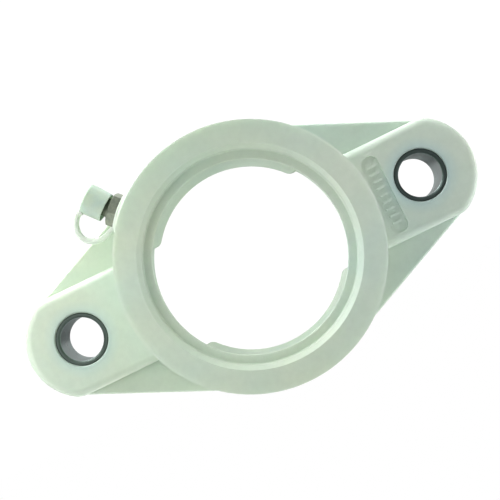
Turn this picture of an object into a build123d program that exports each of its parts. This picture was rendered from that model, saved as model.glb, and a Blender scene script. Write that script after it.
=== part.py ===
from build123d import *

# Two-bolt flange housing for a 52 mm insert bearing, in moulded thermoplastic, with its capped grease nipple.
#
# Row frame, millimetres: origin on the bore axis in the plane of the mounting face.
# +X runs along the line of the two bolt holes, +Z is up, and the front of the housing faces -Y,
# so the housing fills y = 0 (mounting face) to y = -HOUSING_H (front rim).
#
# The solids are drawn lying on their mounting face, with height h along the bore axis,
# and each is turned a quarter turn about X when it is written.

import math
import os

os.makedirs("parts", exist_ok=True)

# ---------------------------------------------------------------- driving dimensions
# flange
BOLT_SPACING = 99.0       # centre to centre of the two bolt holes
FLANGE_R = 35.5           # half of the flange width, 71 mm
LUG_R = 15.6              # round end of each lug, about the bolt hole: 130.2 mm overall
WEB_LUG_R = 15.35         # the web's own round end, just inside the pad
WEB_H = 9.0               # height of the thin web beside each lug
LUG_H = 14.0              # height of the bolting pad on each lug
DRAFT = 0.9               # mould draft of the outer walls, degrees
PAD_HALF_W = 14.05        # the pad's straight sides, narrower than its round end
PAD_ROUND = 2.2
WEB_ROUND = 0.6
# bearing ring
HOUSING_H = 27.0          # mounting face to front rim
RING_R_FRONT = 34.45      # outside radius just under the front rounding
RING_R_BACK = 35.0
RIM_ROUND = 1.35
# bore
SEAT_R = 26.0             # spherical seat, 52 mm
SEAT_H = 16.0             # seat centre above the mounting face
LIP_R = 24.75             # opening left by the lip each side of the seat
REAR_LIP_H = 5.6          # back of the rear lip
REAR_BORE_R = 27.4
LEDGE_H = 24.3            # floor of the front counterbore
COVER_R = 27.25           # front counterbore that takes a snap-in end cover
COVER_TOP_H = 25.9
RIM_CHAMFER_R = 28.45
SLOT_R = 26.4             # loading slots through the rear lip
SLOT_HALF_W = 14.75       # half width of a slot, between its parallel ends
SLOT_TURN = 2.8           # the slots lie this many degrees round from the bolt line
# bolt sleeves
SLEEVE_OR = 7.0
SLEEVE_IR = 5.75
SLEEVE_LEN = 13.75        # back end flush with the mounting face, front a little below the pad
# grease nipple
NIPPLE_ANGLE = 135.0      # direction of the nipple in the XZ plane, from +X
NIPPLE_H = 16.0           # height of its axis above the mounting face
BOSS_R = 6.3
BOSS_END = 35.8           # distances along the nipple are measured from the bore axis
INSERT_OR = 4.4
INSERT_IN = 28.4
THREAD_R = 3.15
HEX_AF = 8.0
HEX_IN = 36.55
HEX_OUT = 38.85
TIP = 44.3
# cap, strap and ring
CAP_TILT = 7.0            # the soft cap sits a little askew on the nipple head
CAP_OR = 4.02
CAP_IR = 3.5
CAP_OPEN = 39.9
CAP_CLOSED = 45.8
CAP_FLOOR = 45.0
CAP_PIVOT = 42.0
STRAP_W = 2.2             # strap width, along the bore axis
STRAP_T = 1.55            # strap thickness
RING_OR = 4.9
RING_IR = 3.3
RING_T = 0.6


def polar(r, deg):
    return (r * math.cos(math.radians(deg)), r * math.sin(math.radians(deg)))


def tried(name, shape, edges, radius):
    """Rounds the edges, or leaves them sharp and says so."""
    edges = list(edges)
    for r in (radius, radius * 0.8, radius * 0.6, radius * 0.4):
        try:
            out = fillet(edges, r)
            if out.is_valid and out.volume > 0:
                return out
        except Exception:
            pass
    print("not rounded:", name, len(edges))
    return shape


def solid_of(shape):
    """The shape as one plain solid."""
    got = shape.solids()
    return got[0] if len(got) == 1 else Compound(children=list(got))


# ---------------------------------------------------------------- housing, outside
def outline(grow=0.0):
    with BuildSketch() as s:
        Circle(FLANGE_R + grow)
        with Locations((BOLT_SPACING / 2, 0), (-BOLT_SPACING / 2, 0)):
            Circle(WEB_LUG_R + grow)
        make_hull()
    return s.sketch


web = extrude(outline(), amount=WEB_H, taper=DRAFT)
web = tried("web rim", web, web.faces().sort_by(Axis.Z)[-1].edges(), WEB_ROUND)

pads = []
for side in (1, -1):
    with BuildSketch() as s:
        with Locations((side * BOLT_SPACING / 2, 0)):
            Circle(LUG_R)
        with Locations((side * (27.0 + BOLT_SPACING / 2) / 2, 0)):
            Rectangle(BOLT_SPACING / 2 - 27.0, 2 * LUG_R)
        with Locations((side * 40.0, 0)):
            Rectangle(60, 2 * PAD_HALF_W, mode=Mode.INTERSECT)
        corners = [v for v in s.vertices() if side * v.X > BOLT_SPACING / 2]
        fillet(corners, 6)
    print("pad corners", len(corners))
    pad = extrude(s.sketch, amount=LUG_H, taper=DRAFT)
    pad = tried("pad rim", pad, pad.faces().sort_by(Axis.Z)[-1].edges(), PAD_ROUND)
    pads.append(pad)

with BuildSketch(Plane.XZ) as s:
    with BuildLine():
        Polyline((0, 0), (RING_R_BACK, 0), (RING_R_FRONT, HOUSING_H), (0, HOUSING_H), close=True)
    make_face()
    corner = s.vertices().sort_by(Axis.Z)[-2:].sort_by(Axis.X)[-1]
    fillet(corner, RIM_ROUND)
ring = revolve(s.sketch, axis=Axis.Z)

nipple_plane = Plane(
    origin=(0, 0, NIPPLE_H),
    x_dir=(polar(1, NIPPLE_ANGLE + 90)[0], polar(1, NIPPLE_ANGLE + 90)[1], 0),
    z_dir=(polar(1, NIPPLE_ANGLE)[0], polar(1, NIPPLE_ANGLE)[1], 0),
)  # local z runs out along the nipple; local x is sideways, towards the left lug; local y is along the bore axis


def along(a, shape):
    """The shape, drawn about the local z axis, moved a along the nipple."""
    return nipple_plane * Pos(0, 0, a) * shape


boss = Cylinder(BOSS_R, BOSS_END - 29, align=(Align.CENTER, Align.CENTER, Align.MIN))
boss = fillet(boss.edges().sort_by(Axis.Z)[-1], 0.7)
boss = along(29, boss)

base = web + pads[0] + pads[1]
body = base + ring

body = body + boss

# ---------------------------------------------------------------- housing, bore
lip_dh = math.sqrt(SEAT_R**2 - LIP_R**2)
with BuildSketch(Plane.XZ) as s:
    with BuildLine():
        l1 = Polyline(
            (0, -1), (REAR_BORE_R + 1.8, -1), (REAR_BORE_R, 0.8), (REAR_BORE_R, REAR_LIP_H - 0.9),
            (REAR_BORE_R - 0.9, REAR_LIP_H), (LIP_R + 0.5, REAR_LIP_H), (LIP_R, REAR_LIP_H + 0.5),
            (LIP_R, SEAT_H - lip_dh),
        )
        l2 = ThreePointArc((LIP_R, SEAT_H - lip_dh), (SEAT_R, SEAT_H), (LIP_R, SEAT_H + lip_dh))
        l3 = Polyline(
            (LIP_R, SEAT_H + lip_dh), (LIP_R, LEDGE_H - 0.15), (LIP_R + 0.15, LEDGE_H), (COVER_R - 0.3, LEDGE_H),
            (COVER_R, LEDGE_H + 0.3), (COVER_R, COVER_TOP_H), (RIM_CHAMFER_R, HOUSING_H), (RIM_CHAMFER_R + 1, HOUSING_H + 1),
            (0, HOUSING_H + 1), (0, -1),
        )
    make_face()
bore = revolve(s.sketch, axis=Axis.Z)
body = body - bore

# two loading slots through the rear lip, nearly on the line of the bolt holes
with BuildSketch() as s:
    Circle(SLOT_R)
    Rectangle(60, 2 * SLOT_HALF_W, rotation=SLOT_TURN, mode=Mode.INTERSECT)
    Circle(LIP_R)
    inner_v = [v for v in s.vertices() if abs(math.hypot(v.X, v.Y) - LIP_R) < 0.02]
    fillet(inner_v, 2.3)
    outer_v = [v for v in s.vertices() if abs(math.hypot(v.X, v.Y) - SLOT_R) < 0.02]
    fillet(outer_v, 0.35)
print("slot corners", len(inner_v), len(outer_v))
slots = Pos(0, 0, -1) * extrude(s.sketch, amount=SEAT_H + 1)
body = body - slots

# ---------------------------------------------------------------- housing, holes
for side in (1, -1):
    x = side * BOLT_SPACING / 2
    body = body - Pos(x, 0, -1) * Cylinder(SLEEVE_OR, LUG_H + 2, align=(Align.CENTER, Align.CENTER, Align.MIN))
    body = body - Pos(x, 0, LUG_H - 0.35) * Cone(SLEEVE_OR, SLEEVE_OR + 0.7, 0.7, align=(Align.CENTER, Align.CENTER, Align.MIN))

body = body - along(INSERT_IN, Cylinder(INSERT_OR, 10, align=(Align.CENTER, Align.CENTER, Align.MIN)))
body = body - along(24, Cylinder(1.5, 6, align=(Align.CENTER, Align.CENTER, Align.MIN)))

# size pocket on the right pad, with plain raised bars on its floor
MARK_X, MARK_Y, MARK_W, MARK_L, MARK_D = 38.75, -0.5, 4.6, 21.8, 0.5
with BuildSketch() as s:
    with Locations((MARK_X, MARK_Y)):
        RectangleRounded(MARK_W, MARK_L, 2.1)
body = body - Pos(0, 0, LUG_H - MARK_D) * extrude(s.sketch, amount=2)
with BuildSketch() as s:
    for i in range(9):
        with Locations((MARK_X, MARK_Y + (i - 4) * 2.0)):
            SlotOverall(2.7, 0.6, rotation=0)
body = body + Pos(0, 0, LUG_H - MARK_D - 0.2) * extrude(s.sketch, amount=0.2 + MARK_D - 0.1)

# ---------------------------------------------------------------- housing, cored back
# ring of deep pockets behind the bearing ring, with ribs between them and a solid block at the nipple
CORE_IN, CORE_OUT, CORE_DEPTH, RIB = 29.8, 32.3, 22.3, 2.2
cores = []
for k in range(12):
    a0, a1 = 30 * k, 30 * k + 30
    if a0 == 120:
        continue
    d_in, d_out = math.degrees(RIB / 2 / CORE_IN), math.degrees(RIB / 2 / CORE_OUT)
    with BuildSketch() as s:
        with BuildLine():
            CenterArc((0, 0), CORE_OUT, a0 + d_out, a1 - a0 - 2 * d_out)
            Line(polar(CORE_OUT, a1 - d_out), polar(CORE_IN, a1 - d_in))
            CenterArc((0, 0), CORE_IN, a0 + d_in, a1 - a0 - 2 * d_in)
            Line(polar(CORE_IN, a0 + d_in), polar(CORE_OUT, a0 + d_out))
        make_face()
        fillet(s.vertices(), 0.9)
    cores.append(Pos(0, 0, -1) * extrude(s.sketch, amount=CORE_DEPTH + 1))

# shallower pockets under the web and the pads, round the bolt sleeves
LUG_CORE_DEPTH, SKIN, SLEEVE_WALL_R = 7.2, 3.0, 9.7
for side in (1, -1):
    for up in (1, -1):
        with BuildSketch() as s:
            add(outline(-SKIN))
            with Locations((side * 41.0, up * 15.0)):
                Rectangle(17.5, 30, mode=Mode.INTERSECT)
            Circle(FLANGE_R + 0.1, mode=Mode.SUBTRACT)
            with Locations((side * BOLT_SPACING / 2, 0)):
                Circle(SLEEVE_WALL_R, mode=Mode.SUBTRACT)
            with Locations((side * 41.0, 0)):
                Rectangle(30, RIB, mode=Mode.SUBTRACT)
            a = math.radians(180 - up * side * 52 if side > 0 else up * 52)
            with Locations((side * BOLT_SPACING / 2 + 15 * math.cos(a), up * abs(15 * math.sin(a)))):
                Rectangle(26, RIB * 0.85, rotation=math.degrees(math.atan2(up * abs(math.sin(a)), math.cos(a))), mode=Mode.SUBTRACT)
        for f in s.sketch.faces():
            if f.area < 6:
                continue
            try:
                g = fillet(f.vertices(), 0.8)
                if not g.is_valid:
                    g = f
            except Exception:
                g = f
                print("lug pocket corner left sharp")
            cores.append(Pos(0, 0, -1) * extrude(g, amount=LUG_CORE_DEPTH + 1))
for c in cores:
    body = body - c

housing = body

# ---------------------------------------------------------------- bolt sleeves
def sleeve(x):
    with BuildSketch(Plane.XZ) as s:
        with BuildLine():
            Polyline(
                (SLEEVE_IR, 0.5), (SLEEVE_IR + 0.5, 0), (SLEEVE_OR - 0.25, 0), (SLEEVE_OR, 0.25),
                (SLEEVE_OR, SLEEVE_LEN - 0.25), (SLEEVE_OR - 0.25, SLEEVE_LEN), (SLEEVE_IR + 0.45, SLEEVE_LEN),
                (SLEEVE_IR, SLEEVE_LEN - 0.45), close=True,
            )
        make_face()
    return Pos(x, 0, 0) * revolve(s.sketch, axis=Axis.Z)


# ---------------------------------------------------------------- grease nipple
def turned(points):
    """A turned piece about the local z axis from (along, radius) pairs."""
    with BuildSketch(Plane.XZ) as s:
        with BuildLine():
            Polyline(*[(r, a) for a, r in points], close=True)
        make_face()
    return revolve(s.sketch, axis=Axis.Z)


# knurled thread insert moulded into the boss
insert = turned([
    (INSERT_IN, THREAD_R + 0.02), (INSERT_IN, INSERT_OR - 0.4), (INSERT_IN + 0.4, INSERT_OR), (31.2, INSERT_OR),
    (31.5, INSERT_OR - 0.45), (32.6, INSERT_OR - 0.45), (32.9, INSERT_OR), (BOSS_END - 0.3, INSERT_OR),
    (BOSS_END, INSERT_OR - 0.3), (BOSS_END, THREAD_R + 0.5), (BOSS_END - 0.5, THREAD_R + 0.02),
])
nicks = [
    Rot(0, 0, 15 * k) * Pos(INSERT_OR, 0, INSERT_IN + 3.9) * Box(0.36, 0.36, 9)
    for k in range(24)
]
insert = insert - nicks
insert = nipple_plane * insert

BALL_R, BALL_A = 1.15, 42.81
BORE_R = 1.32
nipple = turned([
    (29.0, BORE_R), (29.0, THREAD_R - 0.4), (29.4, THREAD_R), (35.5, THREAD_R), (35.7, 3.0), (HEX_IN, 3.0),
    (HEX_IN, 5.2), (HEX_OUT, 5.2), (HEX_OUT, 2.75), (39.7, 2.5), (40.6, 2.45),
    (41.1, 3.05), (41.35, 3.22), (42.3, 3.25), (42.55, 3.12), (43.75, 2.15), (TIP - 0.12, 1.62), (TIP, 1.5),
    (TIP, 0.95), (TIP - 0.2, 0.75), (43.7, 0.75), (43.2, BORE_R),
])
# hexagon with the usual 30 degree chamfer, and the tail staked over the spring
cutter = extrude(Circle(9) - RegularPolygon(HEX_AF / 2, 6, major_radius=False, rotation=15), amount=HEX_OUT - HEX_IN)
nipple = nipple - Pos(0, 0, HEX_IN) * cutter
nipple = nipple - (
    Pos(0, 0, HEX_OUT - 0.42) * Cylinder(7, 0.42, align=(Align.CENTER, Align.CENTER, Align.MIN))
    - Pos(0, 0, HEX_OUT - 0.42) * Cone(4.62, 3.9, 0.42, align=(Align.CENTER, Align.CENTER, Align.MIN))
)
nipple = nipple + (
    Pos(0, 0, 29.0) * (Cylinder(BORE_R + 0.1, 0.35, align=(Align.CENTER, Align.CENTER, Align.MIN))
                       - Cylinder(0.7, 0.35, align=(Align.CENTER, Align.CENTER, Align.MIN)))
)
# thread: a run of plain grooves at the thread's pitch
for k in range(5):
    a = 30.0 + k
    groove = turned([(a, THREAD_R + 0.2), (a + 0.9, THREAD_R + 0.2), (a + 0.45, THREAD_R - 0.5)])
    nipple = nipple - groove
nipple = nipple_plane * nipple

ball = nipple_plane * Pos(0, 0, BALL_A) * Sphere(BALL_R)

WIRE_R, COIL_R = 0.13, 1.02
s0, s1 = 29.52, 41.9
turns = 11
helix = Helix(pitch=(s1 - s0) / turns, height=s1 - s0, radius=COIL_R)
profile = Plane(origin=helix @ 0, z_dir=helix % 0) * Circle(WIRE_R)
spring = sweep(profile, path=helix, is_frenet=True)
spring = nipple_plane * Pos(0, 0, s0) * spring

# ---------------------------------------------------------------- cap, strap, ring
cap_plane_shift = Pos(0, 0, CAP_PIVOT) * Rot(0, -CAP_TILT, 0) * Pos(0, 0, -CAP_PIVOT)
cap = turned([
    (CAP_OPEN, CAP_IR + 0.08), (CAP_OPEN, CAP_OR - 0.3), (CAP_OPEN + 0.2, CAP_OR - 0.14), (CAP_OPEN + 1.1, CAP_OR - 0.1),
    (CAP_CLOSED - 0.45, CAP_OR + 0.12), (CAP_CLOSED - 0.15, CAP_OR + 0.02), (CAP_CLOSED, CAP_OR - 0.25), (CAP_CLOSED, 0),
    (CAP_FLOOR, 0), (CAP_FLOOR, 2.3), (CAP_FLOOR - 1.2, CAP_IR), (CAP_OPEN + 0.15, CAP_IR),
])
cap = nipple_plane * cap_plane_shift * cap

strap_ring = Pos(0, 0, BOSS_END + 0.06) * (
    Cylinder(RING_OR, RING_T, align=(Align.CENTER, Align.CENTER, Align.MIN))
    - Cylinder(RING_IR, RING_T, align=(Align.CENTER, Align.CENTER, Align.MIN))
)
strap_ring = nipple_plane * strap_ring

# strap route in the plane of the flange: (along the nipple, sideways)
ROUTE = [
    (36.68, 4.8), (36.84, 5.75), (37.42, 6.97), (38.63, 8.56), (40.42, 9.7), (42.46, 9.92), (44.33, 9.13), (45.66, 7.65),
    (46.33, 5.94), (46.45, 4.4), (46.34, 3.5),
]
with BuildLine() as bl:
    Spline(*[nipple_plane.from_local_coords((l, 0, a)) for a, l in ROUTE])
path = bl.wires()[0] if bl.wires() else bl.line
start = Plane(origin=path @ 0, z_dir=path % 0, x_dir=(0, 0, 1))
strap = sweep(start * RectangleRounded(STRAP_W, STRAP_T, 0.45), path=path)
strap = strap - strap_ring
strap = strap - nipple_plane * cap_plane_shift * Pos(0, 0, CAP_OPEN - 1) * Cylinder(
    CAP_OR + 0.16, CAP_CLOSED - CAP_OPEN + 1.12, align=(Align.CENTER, Align.CENTER, Align.MIN))
strap = strap.solids().sort_by(SortBy.VOLUME)[-1]

parts = {
    "housing": housing,
    "bolt_sleeve_left": sleeve(-BOLT_SPACING / 2),
    "bolt_sleeve_right": sleeve(BOLT_SPACING / 2),
    "nipple_thread_insert": insert,
    "grease_nipple_body": nipple,
    "check_ball": ball,
    "check_spring": spring,
    "dust_cap": cap,
    "cap_strap": strap,
    "strap_ring": strap_ring,
}
turn = Rot(90, 0, 0)
for name, shape in parts.items():
    out = turn * shape
    solids = out.solids()
    whole = solids[0] if len(solids) == 1 else Compound(children=list(solids))
    print(name, "solids", len(solids), "valid", all(x.is_valid for x in solids), "volume %.2f" % sum(x.volume for x in solids))
    export_step(whole, f"parts/{name}.step")
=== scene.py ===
import math
import bpy
import numpy as np
from mathutils import Vector, Matrix


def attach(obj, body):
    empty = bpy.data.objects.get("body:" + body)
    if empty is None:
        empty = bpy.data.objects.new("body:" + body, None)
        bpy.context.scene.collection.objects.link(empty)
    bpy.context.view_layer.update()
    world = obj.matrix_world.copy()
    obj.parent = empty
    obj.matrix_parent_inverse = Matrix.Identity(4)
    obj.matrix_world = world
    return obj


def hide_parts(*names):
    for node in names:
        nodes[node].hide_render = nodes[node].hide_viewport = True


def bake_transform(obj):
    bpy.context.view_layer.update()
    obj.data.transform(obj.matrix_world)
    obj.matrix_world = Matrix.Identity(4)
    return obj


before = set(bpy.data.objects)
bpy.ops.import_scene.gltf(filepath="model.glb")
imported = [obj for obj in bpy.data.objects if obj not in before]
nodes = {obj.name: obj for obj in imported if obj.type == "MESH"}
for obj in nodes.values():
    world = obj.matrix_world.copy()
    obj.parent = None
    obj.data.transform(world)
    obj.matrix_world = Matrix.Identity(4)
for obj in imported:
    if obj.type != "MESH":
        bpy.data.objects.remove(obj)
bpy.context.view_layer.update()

scene = bpy.context.scene

# ------------------------------------------------------------------ camera
RIGHT = Vector((0.899554, 0.018523, -0.436417))
FWD = Vector((-0.005478, 0.9995, 0.031132))
UP = Vector((0.436776, -0.025614, 0.899206))
cam_data = bpy.data.cameras.new("camera")
cam = bpy.data.objects.new("camera", cam_data)
scene.collection.objects.link(cam)
cam_data.sensor_width = 36.0
cam_data.lens = 989.4 / 500 * 36.0
cam_data.clip_start = 0.01
cam_data.clip_end = 50
loc = Vector((0.002037, -0.273902, -0.006307))
cam.matrix_world = Matrix((
    (RIGHT.x, UP.x, -FWD.x, loc.x),
    (RIGHT.y, UP.y, -FWD.y, loc.y),
    (RIGHT.z, UP.z, -FWD.z, loc.z),
    (0, 0, 0, 1)))
scene.camera = cam
scene.view_settings.view_transform = "Standard"
scene.view_settings.look = "None"


# ------------------------------------------------------------------ node helpers
class Tree:
    """A small wrapper so that materials read as a list of steps."""

    def __init__(self, material):
        material.use_nodes = True
        self.t = material.node_tree
        self.t.nodes.clear()
        self.out = self.t.nodes.new("ShaderNodeOutputMaterial")

    def new(self, kind, **sockets):
        n = self.t.nodes.new(kind)
        for k, v in sockets.items():
            if k in n.inputs:
                n.inputs[k].default_value = v
            else:
                setattr(n, k, v)
        return n

    def link(self, a, b):
        self.t.links.new(a, b)

    def coords(self, scale=(1, 1, 1), rot=(0, 0, 0)):
        tc = self.t.nodes.new("ShaderNodeTexCoord")
        mp = self.t.nodes.new("ShaderNodeMapping")
        mp.inputs["Scale"].default_value = scale
        mp.inputs["Rotation"].default_value = rot
        self.link(tc.outputs["Object"], mp.inputs["Vector"])
        return mp.outputs["Vector"]

    def noise(self, vec, scale, detail=3.0, rough=0.5, distortion=0.0):
        n = self.t.nodes.new("ShaderNodeTexNoise")
        n.inputs["Scale"].default_value = scale
        n.inputs["Detail"].default_value = detail
        n.inputs["Roughness"].default_value = rough
        n.inputs["Distortion"].default_value = distortion
        self.link(vec, n.inputs["Vector"])
        return n.outputs["Fac"]

    def ramp(self, fac, stops, mode="LINEAR"):
        r = self.t.nodes.new("ShaderNodeValToRGB")
        r.color_ramp.interpolation = mode
        e = r.color_ramp.elements
        while len(e) > 1:
            e.remove(e[-1])
        e[0].position, c = stops[0]
        e[0].color = (*c, 1) if hasattr(c, "__len__") else (c, c, c, 1)
        for p, c in stops[1:]:
            x = e.new(p)
            x.color = (*c, 1) if hasattr(c, "__len__") else (c, c, c, 1)
        self.link(fac, r.inputs["Fac"])
        return r.outputs["Color"]

    def mix(self, a, b, fac, mode="MIX"):
        m = self.t.nodes.new("ShaderNodeMix")
        m.data_type = "RGBA"
        m.blend_type = mode
        for sock, v in ((6, a), (7, b)):
            if hasattr(v, "is_linked"):
                self.link(v, m.inputs[sock])
            else:
                m.inputs[sock].default_value = (*v, 1)
        if hasattr(fac, "is_linked"):
            self.link(fac, m.inputs[0])
        else:
            m.inputs[0].default_value = fac
        return m.outputs[2]

    def math(self, op, a, b=None, clamp=False):
        m = self.t.nodes.new("ShaderNodeMath")
        m.operation = op
        m.use_clamp = clamp
        for i, v in enumerate((a, b)):
            if v is None:
                continue
            if hasattr(v, "is_linked"):
                self.link(v, m.inputs[i])
            else:
                m.inputs[i].default_value = v
        return m.outputs[0]

    def bump(self, height, strength, distance, normal=None):
        b = self.t.nodes.new("ShaderNodeBump")
        b.inputs["Strength"].default_value = strength
        b.inputs["Distance"].default_value = distance
        self.link(height, b.inputs["Height"])
        if normal is not None:
            self.link(normal, b.inputs["Normal"])
        return b.outputs["Normal"]

    def bsdf(self, **values):
        p = self.t.nodes.new("ShaderNodeBsdfPrincipled")
        for k, v in values.items():
            p.inputs[k.replace("_", " ")].default_value = v
        self.link(p.outputs["BSDF"], self.out.inputs["Surface"])
        return p


def moulded_plastic():
    m = bpy.data.materials.new("ivory_housing_plastic")
    t = Tree(m)
    p = t.bsdf(Subsurface_Weight=0.25, Subsurface_Scale=1.0, IOR=1.49, Specular_IOR_Level=0.5, Coat_Weight=0.0)
    p.inputs["Subsurface Radius"].default_value = (0.0030, 0.0036, 0.0028)
    v = t.coords()
    big = t.noise(v, 42, 2.0, 0.5)
    mid = t.noise(v, 150, 3.0, 0.55)
    fine = t.noise(v, 620, 4.0, 0.6)
    base = t.ramp(big, [(0.30, (0.560, 0.682, 0.575)), (0.50, (0.588, 0.688, 0.560)), (0.72, (0.615, 0.694, 0.550))])
    base = t.mix(base, t.ramp(mid, [(0.3, (0.93, 0.955, 0.95)), (0.7, (1.04, 1.03, 1.02))]), 0.55, "MULTIPLY")
    base = t.mix(base, t.ramp(fine, [(0.35, 0.955), (0.65, 1.03)]), 0.5, "MULTIPLY")
    # painted shade where walls meet: the colour is darkened by ambient occlusion
    painted_shade_ao = t.new("ShaderNodeAmbientOcclusion", Distance=0.0022)
    painted_shade_ao.samples = 8
    painted_crease_shade = t.ramp(painted_shade_ao.outputs["AO"], [(0.25, (0.80, 0.82, 0.78)), (0.75, (1, 1, 1))])
    base = t.mix(base, painted_crease_shade, 0.10, "MULTIPLY")
    # painted shade with a cool tint round the two steel sleeves, darkest at the hole edge
    sep = t.new("ShaderNodeSeparateXYZ")
    t.link(v, sep.inputs["Vector"])
    dx = t.math("SUBTRACT", t.math("ABSOLUTE", sep.outputs["X"]), 0.0495)
    rad = t.math("SQRT", t.math("ADD", t.math("MULTIPLY", dx, dx), t.math("MULTIPLY", sep.outputs["Z"], sep.outputs["Z"])))
    near = t.math("MULTIPLY", rad, 60.0)
    painted_sleeve_shade = t.ramp(near, [(0.415, (0.60, 0.64, 0.66)), (0.445, (0.82, 0.90, 0.97)), (0.50, (0.92, 0.965, 1.01)), (0.62, (1, 1, 1))])
    base = t.mix(base, painted_sleeve_shade, 1.0, "MULTIPLY")
    # painted light: the moulding is painted a shade cooler towards the right lug and on the upper right of the ring,
    # standing for the light's fall-off
    painted_cool_light_tint = t.math("ADD", t.math("MULTIPLY", sep.outputs["X"], 14.0), t.math("MULTIPLY", sep.outputs["Z"], 3.0))
    base = t.mix(base, t.ramp(painted_cool_light_tint, [(0.0, (1.0, 1.0, 1.0)), (0.55, (0.995, 1.0, 1.08))]), 1.0, "MULTIPLY")
    # painted shade: the plastic is painted darker high up the ring, where less light falls
    painted_top_shade = t.math("MULTIPLY", sep.outputs["Z"], 28.0)
    base = t.mix(base, t.ramp(painted_top_shade, [(0.30, (1.0, 1.0, 1.0)), (0.85, (0.90, 0.925, 0.90))]), 1.0, "MULTIPLY")
    t.link(base, p.inputs["Base Color"])
    t.link(t.ramp(mid, [(0.3, 0.36), (0.7, 0.47)]), p.inputs["Roughness"])
    peel = t.noise(v, 1500, 2.0, 0.5)
    grain = t.noise(v, 6500, 2.0, 0.5)
    n1 = t.bump(peel, 0.30, 0.00004)
    n2 = t.bump(grain, 0.22, 0.00002, n1)
    t.link(n2, p.inputs["Normal"])
    return m


def soft_plastic(name, dark, light):
    m = bpy.data.materials.new(name)
    t = Tree(m)
    p = t.bsdf(Subsurface_Weight=0.35, Subsurface_Scale=1.0, IOR=1.5, Specular_IOR_Level=0.45)
    p.inputs["Subsurface Radius"].default_value = (0.0016, 0.0019, 0.0015)
    v = t.coords()
    a = t.noise(v, 260, 3.0, 0.55)
    b = t.noise(v, 1400, 3.0, 0.6)
    base = t.ramp(a, [(0.3, dark), (0.7, light)])
    base = t.mix(base, t.ramp(b, [(0.35, 0.93), (0.65, 1.03)]), 0.5, "MULTIPLY")
    t.link(base, p.inputs["Base Color"])
    t.link(t.ramp(b, [(0.3, 0.48), (0.7, 0.60)]), p.inputs["Roughness"])
    t.link(t.bump(t.noise(v, 3800, 3.0, 0.6), 0.35, 0.00003), p.inputs["Normal"])
    return m


def turned_steel(name, centre, painted_end_shade_colour, colour=(0.31, 0.385, 0.372), rough=(0.26, 0.40)):
    """Turned metal: fine rings about an axis along Y through centre."""
    m = bpy.data.materials.new(name)
    t = Tree(m)
    p = t.bsdf(Metallic=1.0, IOR=2.5)
    tc = t.new("ShaderNodeTexCoord")
    mp = t.new("ShaderNodeMapping")
    mp.inputs["Location"].default_value = (-centre[0], 0, -centre[2])
    t.link(tc.outputs["Object"], mp.inputs["Vector"])
    sep = t.new("ShaderNodeSeparateXYZ")
    t.link(mp.outputs["Vector"], sep.inputs["Vector"])
    x2 = t.math("MULTIPLY", sep.outputs["X"], sep.outputs["X"])
    z2 = t.math("MULTIPLY", sep.outputs["Z"], sep.outputs["Z"])
    r = t.math("SQRT", t.math("ADD", x2, z2))
    comb = t.new("ShaderNodeCombineXYZ")
    t.link(r, comb.inputs["X"])
    t.link(sep.outputs["Y"], comb.inputs["Y"])
    lines = t.noise(comb.outputs["Vector"], 9000, 4.0, 0.65)
    v = t.coords()
    blotch = t.noise(v, 420, 4.0, 0.6)
    spots = t.noise(v, 1700, 3.0, 0.6)
    c = t.ramp(blotch, [(0.3, tuple(0.80 * x for x in colour)), (0.7, tuple(min(1, 1.18 * x) for x in colour))])
    c = t.mix(c, t.ramp(spots, [(0.32, 0.72), (0.5, 1.0)]), 0.5, "MULTIPLY")
    # painted shade: the sawn ends are painted dark, standing for the dark reflection they show, and are rougher; the
    # drawn bore is brighter
    depth = t.math("ABSOLUTE", t.math("ADD", sep.outputs["Y"], 0.006875))
    painted_dark_end = t.math("MULTIPLY", t.math("SUBTRACT", depth, 0.00640), 5000.0, clamp=True)
    c = t.mix(c, painted_end_shade_colour, painted_dark_end)
    t.link(c, p.inputs["Base Color"])
    wear = t.ramp(blotch, [(0.3, rough[0]), (0.7, rough[1])])
    t.link(t.mix(wear, (0.5, 0.5, 0.5), painted_dark_end), p.inputs["Roughness"])
    n1 = t.bump(lines, 0.35, 0.00002)
    n2 = t.bump(spots, 0.18, 0.00004, n1)
    t.link(n2, p.inputs["Normal"])
    return m


def plain_metal(name, colour, rough=(0.25, 0.4), tint=None):
    m = bpy.data.materials.new(name)
    t = Tree(m)
    p = t.bsdf(Metallic=1.0, IOR=2.5)
    v = t.coords()
    a = t.noise(v, 700, 3.0, 0.6)
    b = t.noise(v, 5200, 3.0, 0.6)
    c = t.ramp(a, [(0.3, tuple(0.78 * x for x in colour)), (0.7, tint or tuple(min(1, 1.15 * x) for x in colour))])
    # painted shade in the corners and gaps: the colour is darkened by ambient occlusion
    painted_shade_ao = t.new("ShaderNodeAmbientOcclusion", Distance=0.0016)
    painted_shade_ao.samples = 8
    c = t.mix(c, t.ramp(painted_shade_ao.outputs["AO"], [(0.35, (0.30, 0.31, 0.27)), (0.80, (1, 1, 1))]), 0.85, "MULTIPLY")
    t.link(c, p.inputs["Base Color"])
    t.link(t.ramp(b, [(0.3, rough[0]), (0.7, rough[1])]), p.inputs["Roughness"])
    t.link(t.bump(b, 0.3, 0.00002), p.inputs["Normal"])
    return m


def give(obj, material):
    obj.data.materials.clear()
    obj.data.materials.append(material)


PLASTIC = moulded_plastic()
SOFT = soft_plastic("soft_cap_plastic", (0.445, 0.575, 0.50), (0.53, 0.63, 0.485))
# painted light: the strap and ring get a lighter copy of the cap's soft plastic, standing for the light they catch
# from behind
STRAP_PAINTED_LIGHT = soft_plastic("soft_strap_plastic_painted_light", (0.66, 0.735, 0.655), (0.70, 0.755, 0.665))
give(nodes["housing"], PLASTIC)
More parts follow.
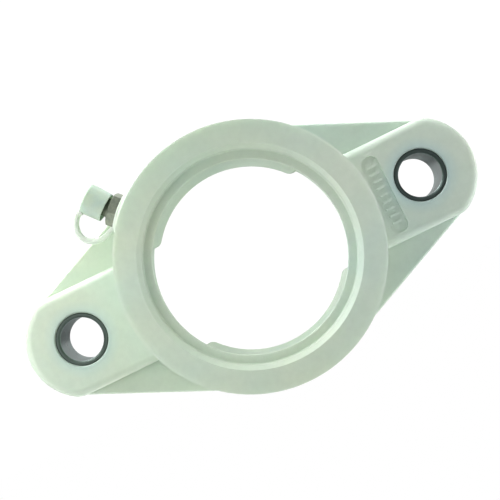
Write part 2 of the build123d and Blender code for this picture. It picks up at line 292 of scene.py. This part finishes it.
# painted shade: the sleeve ends are painted dark, the right one darker than the left
for side, x, painted_dark_end in (("left", -0.0495, (0.105, 0.135, 0.118)), ("right", 0.0495, (0.066, 0.088, 0.082))):
    give(nodes[f"bolt_sleeve_{side}"], turned_steel(f"stainless_sleeve_{side}", (x, 0, 0), painted_dark_end))
give(nodes["nipple_thread_insert"], plain_metal("brass_insert", (0.60, 0.46, 0.22), (0.28, 0.42)))
give(nodes["grease_nipple_body"], plain_metal("nipple_metal", (0.23, 0.265, 0.215), (0.44, 0.60), (0.30, 0.33, 0.255)))
give(nodes["check_ball"], plain_metal("ball_steel", (0.62, 0.63, 0.64), (0.12, 0.2)))
give(nodes["check_spring"], plain_metal("spring_steel", (0.42, 0.42, 0.42), (0.25, 0.38)))

# ------------------------------------------------------------------ the nipple's own axes
ANGLE = math.radians(135.0)
TILT = math.radians(7.0)
O = Vector((0, -0.016, 0))
N = Vector((math.cos(ANGLE), 0, math.sin(ANGLE)))
S = Vector((-math.sin(ANGLE), 0, math.cos(ANGLE)))
B = Vector((0, -1, 0))
MM = 0.001


def at(a, side=0.0, front=0.0):
    """A point given in millimetres along the nipple, sideways and towards the front."""
    return O + N * (a * MM) + S * (side * MM) + B * (front * MM)


PIVOT = 42.0
CN = N * math.cos(TILT) - S * math.sin(TILT)
CS = S * math.cos(TILT) + N * math.sin(TILT)


def at_cap(a, side=0.0, front=0.0):
    """The same for the cap, which sits a little askew."""
    return at(PIVOT) + CN * ((a - PIVOT) * MM) + CS * (side * MM) + B * (front * MM)


def make(name, verts, faces, material, smooth=True):
    me = bpy.data.meshes.new(name)
    me.from_pydata([tuple(v) for v in verts], [], faces)
    me.validate()
    me.update()
    if smooth:
        me.polygons.foreach_set("use_smooth", [True] * len(me.polygons))
    ob = bpy.data.objects.new(name, me)
    scene.collection.objects.link(ob)
    me.materials.append(material)
    return ob


def rounded(profile, radius=0.12, steps=4):
    """A closed (along, radius) profile with each corner cut by a small arc. A point may give its own radius."""
    out = []
    n = len(profile)
    for i in range(n):
        p = profile[i]
        r = p[2] if len(p) > 2 else radius
        a, b, c = np.array(profile[i - 1][:2]), np.array(p[:2]), np.array(profile[(i + 1) % n][:2])
        if r <= 0:
            out.append(tuple(b))
            continue
        u, w = a - b, c - b
        lu, lw = np.linalg.norm(u), np.linalg.norm(w)
        d = min(r, 0.45 * lu, 0.45 * lw)
        p0, p2 = b + u / lu * d, b + w / lw * d
        for k in range(steps + 1):
            t = k / steps
            out.append(tuple((1 - t) ** 2 * p0 + 2 * t * (1 - t) * b + t * t * p2))
    return out


def lathe(name, profile, place, material, segments=128, bend=None):
    """Turns a closed (along, radius) profile round the axis. Points on the axis are one vertex."""
    verts, rings = [], []
    for a, r in profile:
        if r < 1e-6:
            rings.append([len(verts)])
            verts.append(place(a, 0, 0))
        else:
            ring = []
            for k in range(segments):
                th = 2 * math.pi * k / segments
                aa, rr = (a, r) if bend is None else bend(a, r, th)
                ring.append(len(verts))
                verts.append(place(aa, rr * math.cos(th), rr * math.sin(th)))
            rings.append(ring)
    faces = []
    n = len(rings)
    for i in range(n):
        p, q = rings[i], rings[(i + 1) % n]
        if len(p) == 1 and len(q) == 1:
            continue
        for k in range(segments):
            k2 = (k + 1) % segments
            if len(p) == 1:
                faces.append((p[0], q[k2], q[k]))
            elif len(q) == 1:
                faces.append((p[k], p[k2], q[0]))
            else:
                faces.append((p[k], p[k2], q[k2], q[k]))
    ob = make(name, verts, faces, material)
    fix_normals(ob)
    return ob


def fix_normals(ob):
    import bmesh
    bm = bmesh.new()
    bm.from_mesh(ob.data)
    bmesh.ops.recalc_face_normals(bm, faces=bm.faces)
    bm.to_mesh(ob.data)
    bm.free()
    ob.data.update()


# ------------------------------------------------------------------ dust cap
CAP = rounded([
    (39.9, 3.56, 0.10), (39.9, 3.86, 0.12), (41.0, 3.90, 0.2), (45.35, 4.10, 0.25), (45.62, 4.10, 0.18), (45.8, 3.9, 0.16),
    (45.80, 0.62, 0.05), (45.86, 0.5, 0.04), (45.86, 0.0, 0), (45.0, 0.0, 0), (45.0, 2.4, 0.4), (43.9, 3.5, 0.4), (40.1, 3.5, 0.1)])
cap = lathe("dust_cap_shell", CAP, at_cap, SOFT, 144)
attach(cap, "dust_cap")
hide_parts("dust_cap")

# ------------------------------------------------------------------ ring
RING = rounded([(35.87, 3.3, 0.08), (35.87, 4.9, 0.16), (36.46, 4.9, 0.16), (36.46, 3.3, 0.08)], 0.12, 4)
ring = lathe("strap_ring_soft", RING, at, STRAP_PAINTED_LIGHT, 128)
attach(ring, "ring_and_strap")
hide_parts("strap_ring")

# ------------------------------------------------------------------ strap
ROUTE = [
    (36.25, 4.3), (36.5, 5.0), (36.84, 5.8), (37.42, 6.97), (38.63, 8.56), (40.42, 9.7), (42.46, 9.92), (44.33, 9.13),
    (45.66, 7.65), (46.30, 5.94), (46.36, 4.5), (46.0, 3.6), (45.6, 3.3)]


def smooth_path(points, per=14):
    """A centripetal curve through the points."""
    p = [np.array(q, float) for q in points]
    p = [2 * p[0] - p[1]] + p + [2 * p[-1] - p[-2]]
    out = []
    for i in range(1, len(p) - 2):
        p0, p1, p2, p3 = p[i - 1:i + 3]
        t0 = 0.0
        t1 = t0 + np.linalg.norm(p1 - p0) ** 0.5
        t2 = t1 + np.linalg.norm(p2 - p1) ** 0.5
        t3 = t2 + np.linalg.norm(p3 - p2) ** 0.5
        for t in np.linspace(t1, t2, per, endpoint=False):
            a1 = (t1 - t) / (t1 - t0) * p0 + (t - t0) / (t1 - t0) * p1
            a2 = (t2 - t) / (t2 - t1) * p1 + (t - t1) / (t2 - t1) * p2
            a3 = (t3 - t) / (t3 - t2) * p2 + (t - t2) / (t3 - t2) * p3
            b1 = (t2 - t) / (t2 - t0) * a1 + (t - t0) / (t2 - t0) * a2
            b2 = (t3 - t) / (t3 - t1) * a2 + (t - t1) / (t3 - t1) * a3
            out.append((t2 - t) / (t2 - t1) * b1 + (t - t1) / (t2 - t1) * b2)
    out.append(p[-2])
    return np.array(out)


def strap_mesh(name, route, material):
    path = smooth_path(route)
    for _ in range(3):
        path[1:-1] = 0.25 * path[:-2] + 0.5 * path[1:-1] + 0.25 * path[2:]
    seg = np.r_[0, np.cumsum(np.linalg.norm(np.diff(path, axis=0), axis=1))]
    u = seg / seg[-1]
    around = 24
    verts, faces = [], []
    for i, q in enumerate(path):
        d = path[min(i + 1, len(path) - 1)] - path[max(i - 1, 0)]
        d = d / np.linalg.norm(d)
        nrm = np.array([-d[1], d[0]])
        # thicker roots where it runs into the ring and into the cap
        root = math.exp(-(u[i] / 0.05) ** 2) + math.exp(-((1 - u[i]) / 0.05) ** 2)
        w = 1.04 + 0.30 * root        # half width, along the bore axis
        h = 0.75 + 0.02 * root        # half thickness
        for k in range(around):
            th = 2 * math.pi * k / around
            c, s = math.cos(th), math.sin(th)
            e = 0.62
            cx = math.copysign(abs(c) ** e, c) * h
            sx = math.copysign(abs(s) ** e, s) * w
            verts.append(at(q[0] + nrm[0] * cx, q[1] + nrm[1] * cx, sx))
    n = len(path)
    for i in range(n - 1):
        for k in range(around):
            k2 = (k + 1) % around
            faces.append((i * around + k, i * around + k2, (i + 1) * around + k2, (i + 1) * around + k))
    faces.append(tuple(range(around)))
    faces.append(tuple((n - 1) * around + k for k in reversed(range(around))))
    ob = make(name, verts, faces, material)
    fix_normals(ob)
    return ob


strap = strap_mesh("cap_strap_soft", ROUTE, STRAP_PAINTED_LIGHT)
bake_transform(strap)
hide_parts("cap_strap")

# ------------------------------------------------------------------ floor and light
def white_floor():
    me = bpy.data.meshes.new("floor")
    s = 6.0
    me.from_pydata([(-s, -s, -0.42), (s, -s, -0.42), (s, s, -0.42), (-s, s, -0.42)], [], [(0, 1, 2, 3)])
    ob = bpy.data.objects.new("floor", me)
    scene.collection.objects.link(ob)
    m = bpy.data.materials.new("floor_white")
    t = Tree(m)
    d = t.new("ShaderNodeBsdfDiffuse", Color=(0.86, 0.86, 0.86, 1))
    e = t.new("ShaderNodeEmission", Strength=1.0)
    e.inputs["Color"].default_value = (1, 1, 1, 1)
    lp = t.new("ShaderNodeLightPath")
    mx = t.new("ShaderNodeMixShader")
    t.link(lp.outputs["Is Camera Ray"], mx.inputs["Fac"])
    t.link(d.outputs[0], mx.inputs[1])
    t.link(e.outputs[0], mx.inputs[2])
    t.link(mx.outputs[0], t.out.inputs["Surface"])
    me.materials.append(m)
    return ob


white_floor()

world = bpy.data.worlds.new("studio")
scene.world = world
world.use_nodes = True
wt = world.node_tree
wt.nodes.clear()
w_out = wt.nodes.new("ShaderNodeOutputWorld")
w_cam = wt.nodes.new("ShaderNodeBackground")
w_cam.inputs["Color"].default_value = (1, 1, 1, 1)
w_cam.inputs["Strength"].default_value = 1.05
w_env = wt.nodes.new("ShaderNodeBackground")
w_env.inputs["Strength"].default_value = 1.0
w_tc = wt.nodes.new("ShaderNodeTexCoord")
w_sep = wt.nodes.new("ShaderNodeSeparateXYZ")
wt.links.new(w_tc.outputs["Generated"], w_sep.inputs["Vector"])
w_ramp = wt.nodes.new("ShaderNodeValToRGB")
w_map = wt.nodes.new("ShaderNodeMapRange")
w_map.inputs["From Min"].default_value = -1.0
w_map.inputs["From Max"].default_value = 1.0
wt.links.new(w_sep.outputs["Y"], w_map.inputs["Value"])
wt.links.new(w_map.outputs["Result"], w_ramp.inputs["Fac"])
el = w_ramp.color_ramp.elements
el[0].position, el[0].color = 0.0, (0.10, 0.10, 0.101, 1)
el[1].position, el[1].color = 1.0, (0.60, 0.60, 0.60, 1)
x = el.new(0.22); x.color = (0.10, 0.10, 0.101, 1)
x = el.new(0.5); x.color = (0.22, 0.22, 0.221, 1)
x = el.new(0.85); x.color = (0.24, 0.24, 0.241, 1)
wt.links.new(w_ramp.outputs["Color"], w_env.inputs["Color"])
w_lp = wt.nodes.new("ShaderNodeLightPath")
w_mix = wt.nodes.new("ShaderNodeMixShader")
wt.links.new(w_lp.outputs["Is Camera Ray"], w_mix.inputs["Fac"])
wt.links.new(w_env.outputs[0], w_mix.inputs[1])
wt.links.new(w_cam.outputs[0], w_mix.inputs[2])
wt.links.new(w_mix.outputs[0], w_out.inputs["Surface"])


def area(name, r, u, c, size, power, aim=(0, -0.015, 0), colour=(1, 1, 1)):
    """A soft light, placed by metres right, up and towards the front in the main view's axes."""
    data = bpy.data.lights.new(name, "AREA")
    data.shape = "SQUARE"
    data.size = size
    data.energy = power
    data.color = colour
    ob = bpy.data.objects.new(name, data)
    scene.collection.objects.link(ob)
    p = RIGHT * r + UP * u - FWD * c
    ob.location = p
    ob.rotation_mode = "QUATERNION"
    ob.rotation_quaternion = (Vector(aim) - p).to_track_quat("-Z", "Y")
    return ob


area("upleft_side", -0.35, 0.35, 0.04, 0.45, 1.25)
area("upleft_front", -0.28, 0.28, 0.10, 0.15, 0.526)
area("upleft_edge", -0.35, 0.30, -0.03, 0.20, 0.60)
area("left_close", -0.15, -0.03, 0.12, 0.10, 0.087)
area("left_low_near", -0.18, -0.14, 0.10, 0.12, 0.091)
area("left_edge", -0.13, 0.05, 0.05, 0.06, 0.034)
area("front_soft", 0.02, 0.10, 0.80, 0.60, 0.93)
area("top_side", 0.0, 0.45, 0.05, 0.40, 0.98)
area("right_side", 0.45, 0.0, 0.05, 0.40, 1.30)
area("low_left_edge", -0.30, -0.30, -0.02, 0.25, 0.39)
area("left_back", -0.40, 0.10, -0.25, 0.30, 1.04)
area("top_back", 0.0, 0.50, -0.30, 0.40, 1.30)
area("right_back", 0.45, 0.10, -0.25, 0.30, 0.74)
area("bottom_back", 0.0, -0.45, -0.25, 0.35, 0.77)
